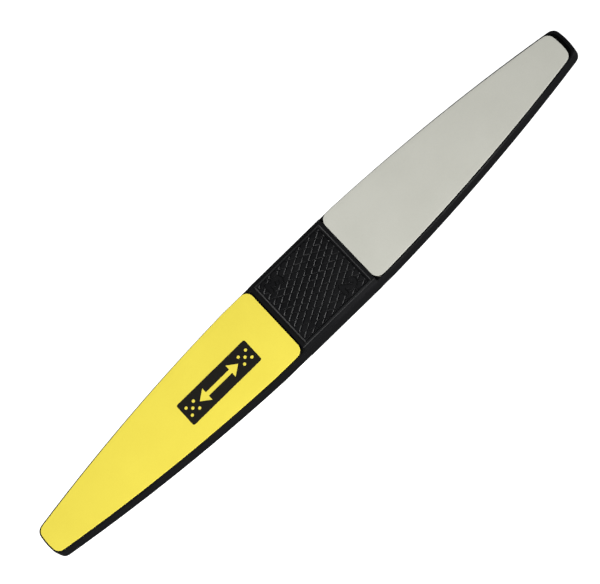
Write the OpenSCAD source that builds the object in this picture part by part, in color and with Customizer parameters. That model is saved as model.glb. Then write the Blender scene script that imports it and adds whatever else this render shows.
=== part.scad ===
// Double-ended sanding stick: a flat, boat-shaped moulded handle with a thicker knurled grip in
// the middle and four foam-backed abrasive pads, one on each side of each arm.
// The origin is the centre of the stick. +X runs along it towards pads 1 and 2, +Y runs across
// it, and +Z points out of the face that carries pads 2 and 3. Millimetres.

/* [Handle] */
// Length of the stick from tip to tip
handle_length = 178; // [160:1:200]
// Width of the straight stretch around the grip
handle_width = 22.8; // [20:0.1:23.4]
// Width that the long curved edges would reach in the middle if they weren't cut straight
arc_width = 23.46; // [23.4:0.02:26]
// Radius of the long curved edges
edge_radius = 532; // [520:1:700]
// Radius of the slightly bowed tips
tip_radius = 20; // [10:1:40]
// Radius of the rounded corners at the tips
tip_corner_radius = 2.3; // [1.8:0.1:2.8]
// Thickness of the arms across their edge lips
arm_thickness = 4.5; // [3.8:0.1:4.8]
// Thickness of the web between the pads, next to the grip
web_thickness_grip = 2.6; // [2:0.1:2.8]
// Thickness of the web at the tips
web_thickness_tip = 1.6; // [1:0.1:2]
// Width of the edge lip along the long sides
lip_width = 0.5; // [0.4:0.05:0.8]
// Width of the edge lip across the tips
tip_lip_width = 0.8; // [0.5:0.05:1]
// Chamfer along the outer edges of the arms
rim_chamfer = 0.2; // [0.1:0.05:0.3]

/* [Grip] */
// Distance of the grip's middle from the stick's middle, towards +X: the -X arm is the longer one
grip_offset = 2.6; // [0:0.1:3]
// Length of the raised grip block
grip_length = 24.3; // [20:0.1:30]
// Thickness of the grip block across its flat faces
grip_thickness = 6.4; // [5.5:0.1:8]
// Width of the grip block's flat faces
grip_face_width = 21.4; // [19:0.1:22]
// Radius along the long edges of the grip's flat faces
grip_edge_radius = 0.4; // [0.2:0.05:0.8]
// Length of the thin raised frame around the knurling, over its outside
frame_length = 22.6; // [19:0.1:23]
// Width of that frame, over its outside
frame_width = 20.6; // [17:0.1:20.6]
// Width of the raised line itself, at its foot
frame_line = 0.6; // [0.4:0.05:0.6]
// Width of the flat along its top, between its two sloping sides
frame_flat = 0.12; // [0.05:0.01:0.2]
// Height of the raised line above the grip's face
frame_height = 0.2; // [0.1:0.05:0.3]
// Radius of the frame's outer corners
frame_corner_radius = 0.7; // [0.5:0.05:1.5]

/* [Knurling] */
// Distance between neighbouring grooves, measured square to them
groove_pitch = 1.7; // [1.4:0.1:2.6]
// Depth of the V-shaped grooves
groove_depth = 0.24; // [0.2:0.01:0.4]
// Angle of the grooves to the stick's long axis
groove_angle = 30; // [20:1:45]
// Width of the plain channel between the frame and the knurling
channel_width = 0.3; // [0.2:0.05:0.6]
// Depth of that channel and of the clear space round the digits, a little below the grooves
channel_depth = 0.32; // [0.3:0.01:0.7]

/* [Digits] */
// Height of the moulded digits
digit_height = 4.4; // [3.5:0.1:5]
// Width of the moulded digits
digit_width = 2.9; // [2.4:0.1:3.4]
// Width of the strokes that the digits are drawn with
stroke_width = 0.75; // [0.4:0.05:0.8]
// Clear space around each stroke
stroke_clearance = 0.4; // [0.3:0.05:0.6]
// Distance of the digits' centres from the middle, along the stick
digit_along = 6.5; // [5:0.1:7.5]
// Distance of the digits' centres from the middle, across the stick
digit_across = 7; // [5:0.1:7.4]

/* [Pads] */
// Thickness of the double-sided mounting tape
tape_thickness = 0.15; // [0.1:0.05:0.3]
// Thickness of the foam
foam_thickness = 1.3; // [1:0.1:2]
// Thickness of the abrasive sheet
sheet_thickness = 0.3; // [0.2:0.05:0.5]
// Gap between the foam and the edge lips
foam_gap = 0.1; // [0.05:0.05:0.3]
// How far the abrasive sheet reaches past the foam on every side
sheet_overhang = 0.15; // [0:0.05:0.2]
// How far the two sheets at the -X end reach past their foam at the tip, out over the lip
sheet_overhang_tip_left = 0.45; // [0:0.05:0.5]
// Distance from the grip to the foam of the two pads at the -X end
gap_at_grip_left = 0.65; // [0.2:0.05:1]
// Distance from the grip to the foam of the two pads at the +X end
gap_at_grip_right = 0.3; // [0.2:0.05:1]
// Distance from the tip to the foam of the two pads at the -X end
tip_margin_left = 0.9; // [0.9:0.05:3]
// Distance from the tip to the foam of the two pads at the +X end
tip_margin_right = 2.05; // [1.1:0.05:3]
// Radius of the pads' corners next to the grip
pad_corner_radius = 2.2; // [1.5:0.1:4]
// Radius of the pads' corners at the tips
pad_tip_radius = 2.2; // [1.4:0.1:2.5]

/* [Hidden] */
half_length = handle_length / 2;
half_width = handle_width / 2;
half_arm = arm_thickness / 2;
half_grip = grip_thickness / 2;
grip_end = grip_length / 2;
// Y of the centre of the long edge arc
arc_centre_y = arc_width / 2 - edge_radius;
// Steps that each long edge, each half of a tip, each rounded corner and each bow of a digit are
// drawn with
side_steps = 14;
tip_steps = 4;
corner_steps = 6;
bow_steps = 14;
// Sides of the rounded ends of the digits' strokes
stroke_end_sides = 12;
floor_at_grip = web_thickness_grip / 2;
recess_corner_radius = 2;
recess_inner_radius = 0.4;
// Half sizes of the area that is knurled
knurl_half_x = frame_length / 2 - frame_line - channel_width;
knurl_half_y = frame_width / 2 - frame_line - channel_width;
groove_count = ceil((knurl_half_x + knurl_half_y) / groove_pitch);
// The digits stand as high as the frame
digit_rise = frame_height;
// Solids that cut, or that are cut flush, run past the faces by this much
past = 5;

// ---------- Outlines ----------

// Where two circles cross, on the right of the way from the first centre to the second
function crossing(centre_1, r_1, centre_2, r_2) =
    let (
        apart = norm(centre_2 - centre_1),
        way = (centre_2 - centre_1) / apart,
        along = (apart * apart + r_1 * r_1 - r_2 * r_2) / (2 * apart),
        aside = sqrt(r_1 * r_1 - along * along)
    )
    centre_1 + along * way + aside * [way.y, -way.x];

// Points from the middle of the +X tip, round its corner and along the +Y edge to the straight
// stretch: the handle's own edge moved inwards by inset, with its tip at tip_x
function edge_points(inset, tip_x, corner_r) =
    let (
        side_centre = [0, arc_centre_y],
        side_r = edge_radius - inset,
        tip_centre = [half_length - tip_radius, 0],
        tip_r = tip_x - tip_centre.x,
        // The corner's arc runs smoothly into the tip's arc and the side's arc
        corner = crossing(side_centre, side_r - corner_r, tip_centre, tip_r - corner_r),
        tip_turn = atan2(corner.y, corner.x - tip_centre.x),
        side_turn = atan2(corner.x, corner.y - arc_centre_y),
        corner_turn = 90 - side_turn - tip_turn,
        mid_turn = acos((half_width - inset - arc_centre_y) / side_r)
    )
    concat(
        // The tip's first point lies half a step from the middle, so that its mirror image is the
        // other end of the same step
        [for (i = [1:tip_steps])
            let (a = tip_turn * (2 * i - 1) / (2 * tip_steps - 1))
            tip_centre + tip_r * [cos(a), sin(a)]],
        [for (i = [1:corner_steps])
            let (a = tip_turn + corner_turn * i / corner_steps)
            corner + corner_r * [cos(a), sin(a)]],
        [for (i = [1:side_steps])
            let (a = side_turn + (mid_turn - side_turn) * i / side_steps)
            side_centre + side_r * [sin(a), cos(a)]]
    );

// Points round a corner of radius r, from one angle to another
function corner_points(x, y, r, from_angle, to_angle) =
    [for (i = [0:corner_steps])
        let (a = from_angle + (to_angle - from_angle) * i / corner_steps)
        [x + r * cos(a), y + r * sin(a)]];

function reversed(points) = [for (i = [len(points) - 1:-1:0]) points[i]];

function flipped(points, x_sign, y_sign) = [for (p = points) [p.x * x_sign, p.y * y_sign]];

// Outline of the whole handle
module handle_outline() {
    quarter = edge_points(0, half_length, tip_corner_radius);
    polygon(concat(
        quarter,
        reversed(flipped(quarter, -1, 1)),
        flipped(quarter, -1, -1),
        reversed(flipped(quarter, 1, -1))
    ));
}

// Outline of one arm's recess or pad, on the +X side: from inner_x to tip_x
module arm_outline(inset, inner_x, tip_x, inner_r, tip_r) {
    inner_y = half_width - inset;
    half = concat(
        edge_points(inset, tip_x, tip_r),
        corner_points(inner_x + inner_r, inner_y - inner_r, inner_r, 90, 180)
    );
    polygon(concat(half, reversed(flipped(half, 1, -1))));
}

module rounded_rectangle(length, width, r) {
    quarter = corner_points(length / 2 - r, width / 2 - r, r, 0, 90);
    polygon(concat(
        quarter,
        reversed(flipped(quarter, -1, 1)),
        flipped(quarter, -1, -1),
        reversed(flipped(quarter, 1, -1))
    ));
}

// ---------- Digits, upright and centred, in a box of digit_width by digit_height ----------

module stroke_end(w) {
    circle(w / 2, $fn = stroke_end_sides);
}

module stroke(from, to, w) {
    way = to - from;
    translate(from) rotate(atan2(way.y, way.x)) {
        stroke_end(w);
        translate([0, -w / 2]) square([norm(way), w]);
        translate([norm(way), 0]) stroke_end(w);
    }
}

// A curved stroke of radius r, from one angle round to a larger one
module bow(centre, r, from_angle, to_angle, w) {
    way = [for (i = [0:bow_steps])
        let (a = from_angle + (to_angle - from_angle) * i / bow_steps)
        [cos(a), sin(a)]];
    translate(centre) {
        polygon(concat((r + w / 2) * way, reversed((r - w / 2) * way)));
        for (a = [from_angle, to_angle]) rotate(a) translate([r, 0]) stroke_end(w);
    }
}

// w is the stroke's width, which the clear space around a digit makes wider
module digit(number, w) {
    right = (digit_width - stroke_width) / 2;
    top = (digit_height - stroke_width) / 2;
    if (number == 1) {
        stroke([0.1 * right, -top], [0.1 * right, top], w);
        stroke([0.1 * right, top], [-0.7 * right, 0.5 * top], w);
    }
    if (number == 2) {
        bowl_r = 0.9 * right;
        bow([0, top - bowl_r], bowl_r, -35, 170, w);
        stroke([bowl_r * cos(35), top - bowl_r - bowl_r * sin(35)], [-right, -top], w);
        stroke([-right, -top], [right, -top], w);
    }
    if (number == 3) {
        stroke([-right, top], [0.9 * right, top], w);
        stroke([0.9 * right, top], [-0.2 * right, 0.2 * top], w);
        bowl_r = 0.6 * top;
        bow([-0.2 * right, -0.4 * top], bowl_r, -140, 90, w);
    }
    if (number == 4) {
        stroke([0.5 * right, -top], [0.5 * right, top], w);
        stroke([0.5 * right, top], [-right, -0.35 * top], w);
        stroke([-right, -0.35 * top], [right, -0.35 * top], w);
    }
}

// A digit upright towards +X (turn 0) or -X (turn 180), on its side of the grip
module placed_digit(number, turn, w) {
    rotate(turn) translate([digit_along, -digit_across]) rotate(-90) digit(number, w);
}

// ---------- Handle ----------

// Distance from the stick's middle to where an arm leaves the grip
function arm_start(is_right) = grip_end + (is_right ? grip_offset : -grip_offset);

// An arm's pads and recesses lie on a floor that falls from the grip to the tip. They are made as
// for an arm that points to +X, and start is where it leaves the grip.
module on_floor(start) {
    fall = (web_thickness_grip - web_thickness_tip) / 2;
    translate([start, 0, floor_at_grip]) rotate([0, atan(fall / (half_length - start)), 0])
        translate([-start, 0, 0]) children();
}

module recess(start) {
    on_floor(start) linear_extrude(past)
        arm_outline(lip_width, start, half_length - tip_lip_width, recess_inner_radius,
            recess_corner_radius);
}

// The recesses in both faces of both arms
module recesses() {
    for (side = [0, 180]) {
        rotate([side, 0, 0]) recess(arm_start(true));
        rotate([side, 0, 180]) recess(arm_start(false));
    }
}

// The arms as one flat plate with chamfered rims
module plate() {
    inner_share = [1 - 2 * rim_chamfer / handle_length, 1 - 2 * rim_chamfer / handle_width];
    linear_extrude(arm_thickness - 2 * rim_chamfer, center = true) handle_outline();
    for (side = [0, 180]) rotate([side, 0, 0]) translate([0, 0, half_arm - rim_chamfer])
        linear_extrude(rim_chamfer, scale = inner_share) handle_outline();
}

module on_grip() {
    translate([grip_offset, 0, 0]) children();
}

// Half of the grip's cross-section corner: a drafted wall up from the lip, then a rounded edge
module grip_block() {
    top_y = grip_face_width / 2;
    corner = corner_points(top_y - grip_edge_radius, half_grip - grip_edge_radius,
        grip_edge_radius, 20, 90);
    quarter = concat([[half_width, 0], [half_width, half_arm]], corner);
    profile = concat(
        quarter,
        reversed(flipped(quarter, -1, 1)),
        flipped(quarter, -1, -1),
        reversed(flipped(quarter, 1, -1))
    );
    rotate([90, 0, 90]) linear_extrude(grip_length, center = true) polygon(profile);
}

// One family of V grooves, each cut by a square bar that lies on its edge and runs out above
module grooves(angle) {
    bar_half = 3 * groove_depth;
    bar_side = bar_half * sqrt(2);
    bar_z = half_grip - groove_depth + bar_half;
    for (i = [-groove_count:groove_count - 1]) {
        rotate(angle) translate([0, (i + 0.5) * groove_pitch, bar_z]) rotate([45, 0, 0])
            cube([4 * knurl_half_x, bar_side, bar_side], center = true);
    }
}

module knurling_cut() {
    // The grooves run out into the middle of the channel, which is deeper
    intersection() {
        union() {
            grooves(groove_angle);
            grooves(-groove_angle);
        }
        cube([2 * knurl_half_x + channel_width, 2 * knurl_half_y + channel_width,
            4 * half_grip], center = true);
    }
    translate([0, 0, half_grip - channel_depth]) linear_extrude(past) difference() {
        square(2 * [knurl_half_x + channel_width, knurl_half_y + channel_width], center = true);
        square(2 * [knurl_half_x, knurl_half_y], center = true);
    }
}

// A block with four sloping sides: it is length by width at the height of the grip's face, and its
// sides lean in like those of the raised line, or out if lean is -1
module sloping_block(length, width, lean) {
    sunk = 0.1;
    top = frame_height + sunk;
    shift = lean * (frame_line - frame_flat) / 2 / frame_height;
    module side_view(across) {
        polygon([
            [across / 2 + shift * sunk, -sunk], [across / 2 - shift * top, top],
            [-across / 2 + shift * top, top], [-across / 2 - shift * sunk, -sunk]
        ]);
    }
    intersection() {
        rotate([90, 0, 0]) linear_extrude(2 * width, center = true) side_view(length);
        rotate([90, 0, 90]) linear_extrude(2 * length, center = true) side_view(width);
    }
}

// The raised line round the knurling: its foot is sunk into the block, so that the two join
module frame_bead() {
    translate([0, 0, half_grip]) intersection() {
        difference() {
            sloping_block(frame_length, frame_width, 1);
            sloping_block(frame_length - 2 * frame_line, frame_width - 2 * frame_line, -1);
        }
        linear_extrude(2 * frame_height, center = true)
            rounded_rectangle(frame_length, frame_width, frame_corner_radius);
    }
}

// Cuts the knurling into what it is given, on the upper face, and adds the frame and two digits
module grip_face(number_right, number_left) {
    floor_z = half_grip - channel_depth;
    difference() {
        children();
        on_grip() {
            knurling_cut();
            translate([0, 0, floor_z]) linear_extrude(past) {
                placed_digit(number_right, 0, stroke_width + 2 * stroke_clearance);
                placed_digit(number_left, 180, stroke_width + 2 * stroke_clearance);
            }
        }
    }
    on_grip() {
        frame_bead();
        // The digits start inside the block, so that they join it
        sunk = 0.1;
        translate([0, 0, floor_z - sunk]) linear_extrude(channel_depth + digit_rise + sunk) {
            placed_digit(number_right, 0, stroke_width);
            placed_digit(number_left, 180, stroke_width);
        }
    }
}

module handle_core() {
    color("#1e1f21")
        rotate([180, 0, 0]) grip_face(1, 4)
            rotate([180, 0, 0]) grip_face(2, 3) {
                difference() {
                    plate();
                    recesses();
                }
                on_grip() grip_block();
            }
}

// ---------- Pads ----------

// Pads 1 and 2 are on the +X arm and 3 and 4 on the -X arm; 1 and 4 are on the lower face
function is_right(number) = number <= 2;
function is_upper(number) = number == 2 || number == 3;

// Puts a layer made for the upper face of an arm that points to +X in a numbered pad's place
module placed_pad(number) {
    mirror([is_right(number) ? 0 : 1, 0, 0])
        mirror([0, 0, is_upper(number) ? 0 : 1])
            on_floor(arm_start(is_right(number))) children();
}

// One layer of a pad: it starts at height above the floor. It is grown past the foam's outline
// all round, and by tip_grown at the tip.
module pad_layer(number, height, thickness, grown, tip_grown) {
    grip_gap = is_right(number) ? gap_at_grip_right : gap_at_grip_left;
    tip_margin = is_right(number) ? tip_margin_right : tip_margin_left;
    placed_pad(number) translate([0, 0, height]) linear_extrude(thickness)
        arm_outline(lip_width + foam_gap - grown, arm_start(is_right(number)) + grip_gap - grown,
            half_length - tip_margin + tip_grown, pad_corner_radius, pad_tip_radius);
}

module mounting_tape(number) {
    color("#d9d6c8") pad_layer(number, 0, tape_thickness, 0, 0);
}

module foam_pad(number) {
    color("#2b2c2e") pad_layer(number, tape_thickness, foam_thickness, 0, 0);
}

module abrasive_sheet(number, sheet_color) {
    tip_overhang = is_right(number) ? sheet_overhang : sheet_overhang_tip_left;
    color(sheet_color)
        pad_layer(number, tape_thickness + foam_thickness, sheet_thickness, sheet_overhang,
            tip_overhang);
}

handle_core();
mounting_tape(1);  // mounting_tape_1
foam_pad(1);  // foam_pad_1
abrasive_sheet(1, "#4a4b4d");  // abrasive_sheet_1
mounting_tape(2);  // mounting_tape_2
foam_pad(2);  // foam_pad_2
abrasive_sheet(2, "#c8c8be");  // abrasive_sheet_2
mounting_tape(3);  // mounting_tape_3
foam_pad(3);  // foam_pad_3
abrasive_sheet(3, "#eddc5a");  // abrasive_sheet_3
mounting_tape(4);  // mounting_tape_4
foam_pad(4);  // foam_pad_4
abrasive_sheet(4, "#e8e8e4");  // abrasive_sheet_4
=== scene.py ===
"""Looks of the double-ended sanding stick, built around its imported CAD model.

The frame is the CAD model's own: metres, +X along the stick towards pads 1 and 2, +Y across it, and
+Z out of the face that carries pads 2 and 3. The sizes below are millimetres, turned into metres
where the meshes are made, apart from the stage's, which are metres.
"""

import math

import bmesh
import bpy
import numpy as np
from mathutils import Matrix, Quaternion, Vector, noise


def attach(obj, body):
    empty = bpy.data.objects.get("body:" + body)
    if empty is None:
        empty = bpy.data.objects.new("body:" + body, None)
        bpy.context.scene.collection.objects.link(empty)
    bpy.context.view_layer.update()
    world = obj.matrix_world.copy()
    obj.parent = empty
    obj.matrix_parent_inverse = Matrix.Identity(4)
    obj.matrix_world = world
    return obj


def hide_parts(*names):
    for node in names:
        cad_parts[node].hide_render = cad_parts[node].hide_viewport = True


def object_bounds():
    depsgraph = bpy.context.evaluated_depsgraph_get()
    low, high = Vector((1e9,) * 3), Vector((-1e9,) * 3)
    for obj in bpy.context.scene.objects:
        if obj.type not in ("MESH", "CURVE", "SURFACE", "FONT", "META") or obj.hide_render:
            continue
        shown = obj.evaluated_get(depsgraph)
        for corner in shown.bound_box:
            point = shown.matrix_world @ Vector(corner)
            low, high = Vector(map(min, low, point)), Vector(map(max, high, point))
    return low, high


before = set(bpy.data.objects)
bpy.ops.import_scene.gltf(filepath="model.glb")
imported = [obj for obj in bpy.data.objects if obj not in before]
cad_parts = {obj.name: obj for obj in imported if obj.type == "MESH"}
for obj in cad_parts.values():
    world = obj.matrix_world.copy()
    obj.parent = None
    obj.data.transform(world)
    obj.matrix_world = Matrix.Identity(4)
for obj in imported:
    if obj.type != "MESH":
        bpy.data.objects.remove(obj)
cad_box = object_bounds()

MM = 0.001

# Camera: it looks at a point near the middle of the stick, from a direction given by its azimuth and
# elevation in degrees, and is rolled so that the stick lies across the picture's diagonal
CAMERA_AIM = (-0.98, 1.94, 0.0)
CAMERA_DISTANCE = 900.8
CAMERA_AZIMUTH = 6.16
CAMERA_ELEVATION = 68.01
CAMERA_ROLL = -49.95
CAMERA_LENS = 219.67
SENSOR_WIDTH = 36.0

# Pads: number, material slot of the sheet
PADS = {
    1: "abrasive_charcoal",
    2: "abrasive_grey",
    3: "abrasive_yellow",
    4: "abrasive_white",
}
SHEET_EDGE_RADIUS = 0.1
SHEET_WAVE = 0.03
SHEET_WAVE_LENGTH = 14.0
FOAM_EDGE_RADIUS = 0.06
FOAM_WAIST = 0.07
FOAM_RINGS = 8
STATION_STEP = 1.2
SHEET_FOOT_CHAMFER = 0.02
CROSS_STEPS = 16
# Outline points this close along the arm are the same corner
SAME_POINT = 0.002

# Printed mark on pad 3: the box it fills on the sheet, and the openings that leave the sheet bare
MARK_LOW = (-42.25, -4.95)
MARK_HIGH = (-18.9, 2.05)
MARK_CORNER = 0.5
MARK_SUNK = 0.06
MARK_PROUD = 0.012
ARROW_HALF_LENGTH = 6.6
ARROW_HEAD_LENGTH = 2.6
ARROW_HEAD_HALF_WIDTH = 2.0
ARROW_SHAFT_HALF_WIDTH = 0.6
DOT_RADIUS = 0.42
DOT_SPREAD = 1.25
DOTS_FROM_END = 2.7
MARK_CORNER_STEPS = 6
DOT_SIDES = 20

# Handle: points closer than the weld are one, and edges sharper than the angle are rounded
HANDLE_WELD = 0.001
HANDLE_ROUNDING = 0.02
HANDLE_ROUNDING_ANGLE = 60

# Specks: the share of the radius that is fully tinted, and how sharply the chosen cells are cut off
SPECK_CORE = 0.6
SPECK_CHOICE_STEP = 0.01

# Stage, in metres, and the brightness of the background as seen and as a light
FLOOR_HALF_SIZE = 3.0
CLIP_NEAR = 0.01
CLIP_FAR = 30.0
BACKGROUND_SEEN = 1.0
BACKGROUND_LIGHT = 0.08


# ---------- Node helpers ----------


def add_node(material, kind, **settings):
    """A shader node of that kind; settings name its properties, or its inputs as in_Name."""
    made = material.node_tree.nodes.new(kind)
    for name, value in settings.items():
        if name.startswith("in_"):
            made.inputs[name[3:].replace("_", " ")].default_value = value
        else:
            setattr(made, name, value)
    return made


def link(material, output, target):
    """Joins an output of a node to an input of another."""
    material.node_tree.links.new(output, target)


def new_material(name, **constants):
    """A material with a Principled shader whose named inputs are set on its own sockets."""
    material = bpy.data.materials.new(name)
    material.use_nodes = True
    shader = material.node_tree.nodes["Principled BSDF"]
    for key, value in constants.items():
        shader.inputs[key.replace("_", " ")].default_value = value
    return material, shader


def millimetre_coordinates(material):
    """Object coordinates in millimetres, so that every scale below is in features per millimetre."""
    source = add_node(material, "ShaderNodeTexCoord")
    scaled = add_node(material, "ShaderNodeVectorMath", operation="SCALE", in_Scale=1 / MM)
    link(material, source.outputs["Object"], scaled.inputs[0])
    return scaled.outputs[0]


def noise_value(material, where, scale, detail=2.0, roughness=0.5):
    """Smooth noise between 0 and 1, with scale features per millimetre."""
    made = add_node(
        material,
        "ShaderNodeTexNoise",
        in_Scale=scale,
        in_Detail=detail,
        in_Roughness=roughness,
    )
    link(material, where, made.inputs["Vector"])
    return made.outputs["Fac"]


def map_range(material, value, low, high, to_low, to_high):
    """value, moved from the range low to high into the range to_low to to_high, and kept inside it."""
    made = add_node(material, "ShaderNodeMapRange")
    for name, number in (
        ("From Min", low),
        ("From Max", high),
        ("To Min", to_low),
        ("To Max", to_high),
    ):
        made.inputs[name].default_value = number
    link(material, value, made.inputs["Value"])
    return made.outputs["Result"]


def mix_color(material, factor, first, second):
    """first and second are colours, or sockets that give one."""
    made = add_node(material, "ShaderNodeMix", data_type="RGBA")
    link(material, factor, made.inputs["Factor"])
    for name, value in (("A", first), ("B", second)):
        socket = [s for s in made.inputs if s.name == name and s.type == "RGBA"][0]
        if isinstance(value, bpy.types.NodeSocket):
            link(material, value, socket)
        else:
            socket.default_value = (*value, 1.0)
    return [s for s in made.outputs if s.type == "RGBA"][0]


def multiply(material, first, second):
    made = add_node(material, "ShaderNodeMath", operation="MULTIPLY")
    link(material, first, made.inputs[0])
    link(material, second, made.inputs[1])
    return made.outputs[0]


def bump(material, height, distance, strength=1.0, onto=None):
    """A bump of that height, in millimetres, on top of another bump if one is given."""
    made = add_node(
        material, "ShaderNodeBump", in_Strength=strength, in_Distance=distance * MM
    )
    link(material, height, made.inputs["Height"])
    if onto is not None:
        link(material, onto, made.inputs["Normal"])
    return made.outputs["Normal"]


def specks(material, where, scale, radius, share):
    """1 inside sparse dots of that radius in millimetres: share of the cells hold one."""
    cells = add_node(material, "ShaderNodeTexVoronoi", in_Scale=scale)
    link(material, where, cells.inputs["Vector"])
    edge = radius * scale
    inside = map_range(material, cells.outputs["Distance"], edge * SPECK_CORE, edge, 1, 0)
    tint = add_node(material, "ShaderNodeSeparateColor")
    link(material, cells.outputs["Color"], tint.inputs["Color"])
    least = 1 - share
    chosen = map_range(material, tint.outputs[0], least, least + SPECK_CHOICE_STEP, 0, 1)
    return multiply(material, inside, chosen)


# ---------- Materials ----------


def moulded_plastic():
    """Black satin plastic with a fine spark-eroded mould texture and a few dull, handled patches."""
    material, shader = new_material(
        "moulded_plastic", Specular_IOR_Level=0.22, IOR=1.46
    )
    where = millimetre_coordinates(material)
    patches = noise_value(material, where, scale=0.12, detail=3)
    grain = noise_value(material, where, scale=9.0, detail=3, roughness=0.6)
    color = mix_color(
        material, patches, (0.0026, 0.0027, 0.0032), (0.0048, 0.0049, 0.0055)
    )
    dust = specks(material, where, scale=0.55, radius=0.09, share=0.25)
    color = mix_color(material, dust, color, (0.045, 0.043, 0.04))
    link(material, color, shader.inputs["Base Color"])
    link(
        material,
        map_range(material, patches, 0.3, 0.7, 0.30, 0.40),
        shader.inputs["Roughness"],
    )
    link(material, bump(material, grain, distance=0.004, strength=0.5), shader.inputs["Normal"])
    return material


def abrasive(name, base, shade, grit_color, grit_per_mm, grit_height, speck_color):
    """A coated abrasive sheet: bonded grit, faint cloudy shading, and a few stray dark grains."""
    material, shader = new_material(
        name, Roughness=0.92, Specular_IOR_Level=0.15, Diffuse_Roughness=0.8
    )
    where = millimetre_coordinates(material)
    cloudiness = noise_value(material, where, scale=0.09, detail=4)
    clouds = map_range(material, cloudiness, 0.3, 0.7, 0, 1)
    color = mix_color(material, clouds, base, shade)
    grit = add_node(material, "ShaderNodeTexVoronoi", in_Scale=grit_per_mm)
    link(material, where, grit.inputs["Vector"])
    grains = map_range(material, grit.outputs["Distance"], 0.1, 0.7, 0, 0.22)
    color = mix_color(material, grains, color, grit_color)
    small = specks(material, where, scale=0.30, radius=0.16, share=0.10)
    color = mix_color(material, small, color, speck_color)
    link(material, color, shader.inputs["Base Color"])
    # Finer grains between the large ones, half as high
    fine = noise_value(material, where, scale=grit_per_mm * 2.3, detail=2)
    rough_face = bump(material, fine, distance=grit_height * 0.5, strength=0.6)
    rough_face = bump(
        material,
        grit.outputs["Distance"],
        distance=grit_height,
        strength=0.5,
        onto=rough_face,
    )
    link(material, rough_face, shader.inputs["Normal"])
    return material


def foam_material():
    """Dense black closed-cell foam, cut so that small open cells show on its sides."""
    material, shader = new_material(
        "closed_cell_foam", Roughness=0.9, Specular_IOR_Level=0.05
    )
    where = millimetre_coordinates(material)
    cells = add_node(material, "ShaderNodeTexVoronoi", in_Scale=5.5)
    link(material, where, cells.inputs["Vector"])
    # Painted shade: the hollow middles of the open cells are coloured darker than the foam around them
    shaded_pores = map_range(material, cells.outputs["Distance"], 0.1, 0.5, 1, 0)
    color = mix_color(material, shaded_pores, (0.0045, 0.0045, 0.005), (0.002, 0.002, 0.0022))
    link(material, color, shader.inputs["Base Color"])
    link(
        material,
        bump(material, cells.outputs["Distance"], distance=0.05, strength=0.6),
        shader.inputs["Normal"],
    )
    return material


def tape_material():
    """Pale double-sided tape with its thin tissue carrier showing as faint streaks."""
    material, shader = new_material(
        "tissue_tape", Roughness=0.55, Specular_IOR_Level=0.35
    )
    where = millimetre_coordinates(material)
    streaks = noise_value(material, where, scale=1.8, detail=4)
    color = mix_color(material, streaks, (0.40, 0.37, 0.29), (0.60, 0.57, 0.47))
    link(material, color, shader.inputs["Base Color"])
    relief = bump(material, streaks, distance=0.01, strength=0.4)
    link(material, relief, shader.inputs["Normal"])
    return material


def ink_material():
    """Near-black printing ink, thin enough for the sheet's grit to show through."""
    material, shader = new_material(
        "printing_ink", Roughness=0.7, Specular_IOR_Level=0.12
    )
    where = millimetre_coordinates(material)
    grain = noise_value(material, where, scale=7.0, detail=3)
    worn = map_range(material, grain, 0.55, 0.8, 0, 0.35)
    color = mix_color(material, worn, (0.0065, 0.0058, 0.0042), (0.035, 0.030, 0.010))
    link(material, color, shader.inputs["Base Color"])
    relief = bump(material, grain, distance=0.012, strength=0.5)
    link(material, relief, shader.inputs["Normal"])
    return material


def floor_material():
    """White, and giving off enough light of its own that the stick throws no visible shadow."""
    material, _ = new_material(
        "white_sweep",
        Base_Color=(0.5, 0.5, 0.5, 1.0),
        Roughness=0.9,
        Specular_IOR_Level=0.1,
        Emission_Color=(1.0, 1.0, 1.0, 1.0),
        Emission_Strength=0.95,
    )
    return material


# ---------- Pads ----------


class Slab:
    """A flat layer of the CAD model: its own axes, its plan outline and its thickness, in millimetres.

    u runs along the arm away from the grip, w out of the arm's face, and v across.
    """

    def __init__(self, node_name):
        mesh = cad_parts[node_name].data
        points = np.array([v.co for v in mesh.vertices], float) / MM
        # The widest face is the top or the bottom, so its normal is the layer's own
        widest = max(mesh.polygons, key=lambda face: face.area)
        normal = Vector(widest.normal)
        outward = 1.0 if points[:, 2].mean() > 0 else -1.0
        if normal.z * outward < 0:
            normal = -normal
        arm = 1.0 if points[:, 0].mean() > 0 else -1.0
        along = Vector((arm, 0.0, 0.0))
        along = (along - normal * along.dot(normal)).normalized()
        across = normal.cross(along)
        self.axes = Matrix((along, across, normal)).transposed()
        local = points @ np.array(self.axes)
        self.bottom = local[:, 2].min()
        self.thickness = local[:, 2].max() - self.bottom
        upper = local[local[:, 2] > self.bottom + self.thickness / 2]
        self.edge_u, self.edge_v = [], []
        for u, v in sorted((p[0], p[1]) for p in upper if p[1] > 0):
            if not self.edge_u or u - self.edge_u[-1] > SAME_POINT:
                self.edge_u.append(u)
                self.edge_v.append(v)

    def stations(self):
        """Positions along the arm: the outline's own points, with long gaps between them filled."""
        found = []
        for start, end in zip(self.edge_u, self.edge_u[1:]):
            parts = max(1, round((end - start) / STATION_STEP))
            found += [start + (end - start) * i / parts for i in range(parts)]
        return found + [self.edge_u[-1]]

    def loop(self):
        """The outline as one closed loop: the +v edge, the tip, the -v edge and the end at the grip."""
        along = self.stations()
        half = np.interp(along, self.edge_u, self.edge_v)
        shares = [1 - 2 * j / CROSS_STEPS for j in range(1, CROSS_STEPS)]
        loop = list(zip(along, half))
        loop += [(along[-1], half[-1] * share) for share in shares]
        loop += [(u, -v) for u, v in zip(reversed(along), reversed(half))]
        loop += [(along[0], -half[0] * share) for share in shares]
        return np.array(loop), len(along)

    def place(self, u, v, w):
        """A point of the layer in the frame, in metres."""
        return self.axes @ Vector((u, v, w)) * MM


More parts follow.
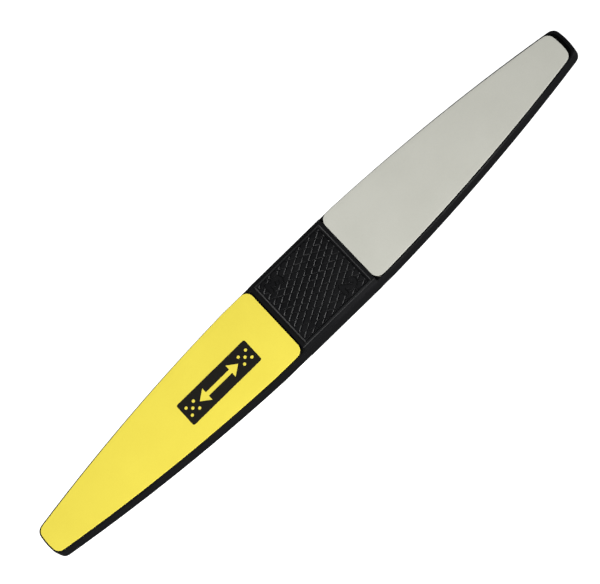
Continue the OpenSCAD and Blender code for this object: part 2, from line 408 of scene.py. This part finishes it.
def inset(loop, distance):
    """The loop moved inwards, each point square to the line between its neighbours."""
    after = np.roll(loop, -1, axis=0)
    before = np.roll(loop, 1, axis=0)
    way = after - before
    way /= np.linalg.norm(way, axis=1)[:, None]
    # The loop runs clockwise, so the inside lies on its right
    inwards = np.stack([way[:, 1], -way[:, 0]], axis=1)
    return loop + inwards * distance


def slab_mesh(name, slab, profile, surface_height):
    """A closed mesh of a layer.

    profile lists (inset, height) from its lower face's edge up to its upper face's edge, and
    surface_height(u, v) is what the upper face stands above that.
    """
    loop, along_count = slab.loop()
    made = bmesh.new()
    rings = []
    for distance, height in profile:
        ring = inset(loop, distance)
        rings.append([made.verts.new(slab.place(u, v, height)) for u, v in ring])
    count = len(loop)
    for lower, upper in zip(rings, rings[1:]):
        for i in range(count):
            j = (i + 1) % count
            made.faces.new((lower[j], lower[i], upper[i], upper[j]))
    made.faces.new(rings[0])
    cap_with_grid(made, slab, rings[-1], along_count, profile[-1], surface_height)
    mesh = bpy.data.meshes.new(name)
    bmesh.ops.recalc_face_normals(made, faces=made.faces)
    made.to_mesh(mesh)
    made.free()
    for face in mesh.polygons:
        face.use_smooth = True
    piece = bpy.data.objects.new(name, mesh)
    bpy.context.scene.collection.objects.link(piece)
    return piece


def cap_with_grid(made, slab, ring, along_count, last_step, surface_height):
    """Fills the upper ring with rows of quads across the arm."""
    loop, _ = slab.loop()
    distance, height = last_step
    edge = inset(loop, distance)
    cross = CROSS_STEPS - 1
    # Where each row starts on the +v edge and where it ends on the -v edge
    starts = list(range(along_count))
    ends = [2 * along_count + cross - 1 - i for i in starts]
    rows = []
    for start, end in zip(starts, ends):
        row = [ring[start]]
        for j in range(1, CROSS_STEPS):
            u, v = edge[start] + (edge[end] - edge[start]) * j / CROSS_STEPS
            if start == 0:
                # The grip end's own points run from the -v edge back to the +v edge
                row.append(ring[-j])
            elif start == along_count - 1:
                row.append(ring[along_count - 1 + j])
            else:
                row.append(made.verts.new(slab.place(u, v, height + surface_height(u, v))))
        row.append(ring[end])
        rows.append(row)
    for row, following in zip(rows, rows[1:]):
        for j in range(CROSS_STEPS):
            made.faces.new((row[j], row[j + 1], following[j + 1], following[j]))


def rounded_top(height, radius, steps=4):
    """(inset, height) steps of a rounded upper edge."""
    turn = [math.pi / 2 * i / steps for i in range(steps + 1)]
    return [
        (radius * (1 - math.cos(a)), height - radius * (1 - math.sin(a))) for a in turn
    ]


def abrasive_piece(number, material):
    """The visible sheet of that pad, in place of its CAD solid. Gives back the layer it fills."""
    node = f"abrasive_sheet_{number}"
    slab = Slab(node)
    foot = slab.bottom
    top = foot + slab.thickness
    profile = [(SHEET_FOOT_CHAMFER, foot), (0.0, foot + SHEET_FOOT_CHAMFER)]
    profile += rounded_top(top, SHEET_EDGE_RADIUS)

    def wave(u, v):
        """The sheet follows the foam, which is never quite even: it dips, and never rises."""
        depth = noise.noise(Vector((u, v, 7.0 * number)) / SHEET_WAVE_LENGTH)
        return -SHEET_WAVE * (0.5 + 0.5 * max(-1.0, min(1.0, depth)))

    piece = slab_mesh(f"grit_sheet_{number}", slab, profile, wave)
    piece.data.materials.append(material)
    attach(piece, "root")
    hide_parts(node)
    return slab


def foam_piece(number, material):
    """The visible foam of that pad, in place of its CAD solid, with sides drawn in to a waist."""
    node = f"foam_pad_{number}"
    slab = Slab(node)
    foot = slab.bottom
    top = foot + slab.thickness
    profile = [(FOAM_EDGE_RADIUS, foot)]
    for i in range(FOAM_RINGS + 1):
        share = i / FOAM_RINGS
        height = foot + FOAM_EDGE_RADIUS + (slab.thickness - 2 * FOAM_EDGE_RADIUS) * share
        profile.append((FOAM_WAIST * math.sin(math.pi * share), height))
    profile.append((FOAM_EDGE_RADIUS, top))
    piece = slab_mesh(f"foam_{number}", slab, profile, lambda u, v: 0.0)
    piece.data.materials.append(material)
    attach(piece, "root")
    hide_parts(node)


# ---------- Printed mark ----------


def arc(x, y, radius, first, last, steps):
    """Points round the centre x, y, from the angle first to the angle last in degrees."""
    return [
        (
            x + radius * math.cos(math.radians(first + (last - first) * i / steps)),
            y + radius * math.sin(math.radians(first + (last - first) * i / steps)),
        )
        for i in range(steps + 1)
    ]


def mark_outline(half_length, half_width):
    """The panel: a rectangle with rounded corners."""
    x = half_length - MARK_CORNER
    y = half_width - MARK_CORNER
    points = []
    for corner_x, corner_y, start in ((x, y, 0), (-x, y, 90), (-x, -y, 180), (x, -y, 270)):
        points += arc(corner_x, corner_y, MARK_CORNER, start, start + 90, MARK_CORNER_STEPS)
    return points


def arrow_outline():
    """An arrow with a head at each end: its right half, and the same half turned about."""
    neck = ARROW_HALF_LENGTH - ARROW_HEAD_LENGTH
    right = [
        (neck, ARROW_SHAFT_HALF_WIDTH),
        (neck, ARROW_HEAD_HALF_WIDTH),
        (ARROW_HALF_LENGTH, 0.0),
        (neck, -ARROW_HEAD_HALF_WIDTH),
        (neck, -ARROW_SHAFT_HALF_WIDTH),
    ]
    return right + [(-x, -y) for x, y in right]


def dot_outlines(half_length):
    """Five dots at each end, set like the five of a die, for grit."""
    last = 360 - 360 / DOT_SIDES
    places = [(0, 0), (1, 1), (1, -1), (-1, 1), (-1, -1)]
    found = []
    for end in (-1, 1):
        middle = end * (half_length - DOTS_FROM_END)
        for x, y in places:
            centre = (middle + x * DOT_SPREAD, y * DOT_SPREAD)
            found.append(arc(*centre, DOT_RADIUS, 0, last, DOT_SIDES - 1))
    return found


def printed_mark(slab, material):
    """A black printed panel with a double arrow and two groups of dots left open in it."""
    half_length = (MARK_HIGH[0] - MARK_LOW[0]) / 2
    half_width = (MARK_HIGH[1] - MARK_LOW[1]) / 2
    middle = Vector(((MARK_HIGH[0] + MARK_LOW[0]) / 2, (MARK_HIGH[1] + MARK_LOW[1]) / 2, 0))
    outlines = [mark_outline(half_length, half_width), arrow_outline()]
    outlines += dot_outlines(half_length)
    made = bmesh.new()
    for outline in outlines:
        verts = [made.verts.new((x, y, 0.0)) for x, y in outline]
        for first, second in zip(verts, verts[1:] + verts[:1]):
            made.edges.new((first, second))
    bmesh.ops.triangle_fill(made, edges=made.edges, use_beauty=True)
    flat = list(made.faces)
    grown = bmesh.ops.extrude_face_region(made, geom=flat)
    raised = [v for v in grown["geom"] if isinstance(v, bmesh.types.BMVert)]
    for vert in raised:
        vert.co.z = MARK_PROUD + MARK_SUNK
    local = slab.axes.inverted()
    top = slab.bottom + slab.thickness
    for vert in made.verts:
        # u and v of the mark's point on the tilted sheet
        flat_place = local @ (middle + Vector((vert.co.x, vert.co.y, 0.0)))
        vert.co = slab.place(flat_place.x, flat_place.y, top - MARK_SUNK + vert.co.z)
    bmesh.ops.recalc_face_normals(made, faces=made.faces)
    mesh = bpy.data.meshes.new("printed_mark")
    made.to_mesh(mesh)
    made.free()
    mesh.materials.append(material)
    piece = bpy.data.objects.new("printed_mark", mesh)
    bpy.context.scene.collection.objects.link(piece)
    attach(piece, "root")


# ---------- Handle ----------


def dress_handle(material):
    """The CAD handle itself, in its own shape, with very small roundings on its sharp edges."""
    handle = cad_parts["handle_core"]
    handle.data.materials.clear()
    handle.data.materials.append(material)
    weld = handle.modifiers.new("weld", "WELD")
    weld.merge_threshold = HANDLE_WELD * MM
    rounding = handle.modifiers.new("rounding", "BEVEL")
    rounding.limit_method = "ANGLE"
    rounding.angle_limit = math.radians(HANDLE_ROUNDING_ANGLE)
    rounding.width = HANDLE_ROUNDING * MM
    rounding.segments = 3
    rounding.use_clamp_overlap = False
    rounding.harden_normals = False


# ---------- Stage ----------


def make_floor(height, material):
    """A square floor under the stick, facing up."""
    signs = [(-1, -1), (1, -1), (1, 1), (-1, 1)]
    corners = [(x * FLOOR_HALF_SIZE, y * FLOOR_HALF_SIZE, height) for x, y in signs]
    mesh = bpy.data.meshes.new("floor")
    mesh.from_pydata(corners, [], [(0, 1, 2, 3)])
    mesh.materials.append(material)
    floor = bpy.data.objects.new("floor", mesh)
    # A bright floor would otherwise be mirrored in the handle's walls
    floor.visible_glossy = False
    bpy.context.scene.collection.objects.link(floor)


def direction(azimuth, elevation):
    """Unit vector from the stick towards azimuth and elevation: azimuth 0 lies towards -Y."""
    a, e = math.radians(azimuth), math.radians(elevation)
    return Vector((math.sin(a) * math.cos(e), -math.cos(a) * math.cos(e), math.sin(e)))


def soft_light(name, azimuth, elevation, distance, size, power):
    """A white panel that faces the stick: angles in degrees, distance and size in metres, watts."""
    data = bpy.data.lights.new(name, "AREA")
    data.shape = "RECTANGLE"
    data.size, data.size_y = size
    data.energy = power
    lamp = bpy.data.objects.new(name, data)
    towards = direction(azimuth, elevation)
    lamp.location = towards * distance
    lamp.rotation_mode = "QUATERNION"
    lamp.rotation_quaternion = towards.to_track_quat("Z", "Y")
    bpy.context.scene.collection.objects.link(lamp)


def make_camera():
    data = bpy.data.cameras.new("camera")
    data.sensor_width = SENSOR_WIDTH
    data.lens = CAMERA_LENS
    data.clip_start = CLIP_NEAR
    data.clip_end = CLIP_FAR
    camera = bpy.data.objects.new("camera", data)
    back = direction(CAMERA_AZIMUTH, CAMERA_ELEVATION)
    camera.location = (Vector(CAMERA_AIM) + back * CAMERA_DISTANCE) * MM
    camera.rotation_mode = "QUATERNION"
    level = (-back).to_track_quat("-Z", "Y")
    camera.rotation_quaternion = level @ Quaternion((0.0, 0.0, 1.0), math.radians(CAMERA_ROLL))
    bpy.context.scene.collection.objects.link(camera)
    bpy.context.scene.camera = camera


def make_world():
    world = bpy.data.worlds.new("studio")
    world.use_nodes = True
    background = world.node_tree.nodes["Background"]
    background.inputs["Color"].default_value = (1.0, 1.0, 1.0, 1.0)
    # The camera sees white beyond the floor, and the object is lit by a dim room
    path = world.node_tree.nodes.new("ShaderNodeLightPath")
    strength = world.node_tree.nodes.new("ShaderNodeMapRange")
    strength.inputs["To Min"].default_value = BACKGROUND_LIGHT
    strength.inputs["To Max"].default_value = BACKGROUND_SEEN
    world.node_tree.links.new(path.outputs["Is Camera Ray"], strength.inputs["Value"])
    world.node_tree.links.new(strength.outputs["Result"], background.inputs["Strength"])
    bpy.context.scene.world = world


# ---------- Build ----------

make_camera()
make_world()
bpy.context.scene.view_settings.view_transform = "Standard"
make_floor(cad_box[0].z, floor_material())
soft_light("top", azimuth=-38, elevation=64, distance=0.24, size=(0.14, 0.14), power=0.67)
# Low and long, so that it draws bright lines along the knurling's grooves
soft_light("key", azimuth=34, elevation=20, distance=0.42, size=(0.24, 0.06), power=1.15)
soft_light("side", azimuth=112, elevation=12, distance=0.40, size=(0.12, 0.08), power=0.24)

dress_handle(moulded_plastic())

tape = tape_material()
foam = foam_material()
sheets = {
    1: abrasive(
        "grit_charcoal",
        base=(0.055, 0.055, 0.058),
        shade=(0.075, 0.075, 0.08),
        grit_color=(0.14, 0.14, 0.145),
        grit_per_mm=5.0,
        grit_height=0.05,
        speck_color=(0.01, 0.01, 0.01),
    ),
    2: abrasive(
        "grit_grey",
        base=(0.525, 0.525, 0.475),
        shade=(0.495, 0.495, 0.445),
        grit_color=(0.375, 0.375, 0.335),
        grit_per_mm=7.0,
        grit_height=0.02,
        speck_color=(0.13, 0.12, 0.10),
    ),
    3: abrasive(
        "grit_yellow",
        base=(0.715, 0.628, 0.082),
        shade=(0.69, 0.60, 0.075),
        grit_color=(0.59, 0.48, 0.05),
        grit_per_mm=7.0,
        grit_height=0.02,
        speck_color=(0.28, 0.22, 0.03),
    ),
    4: abrasive(
        "grit_white",
        base=(0.78, 0.78, 0.75),
        shade=(0.74, 0.74, 0.71),
        grit_color=(0.60, 0.60, 0.57),
        grit_per_mm=9.0,
        grit_height=0.01,
        speck_color=(0.30, 0.29, 0.27),
    ),
}
for number in PADS:
    tape_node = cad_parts[f"mounting_tape_{number}"]
    tape_node.data.materials.clear()
    tape_node.data.materials.append(tape)
    foam_piece(number, foam)
    sheet_slab = abrasive_piece(number, sheets[number])
    if number == 3:
        printed_mark(sheet_slab, ink_material())
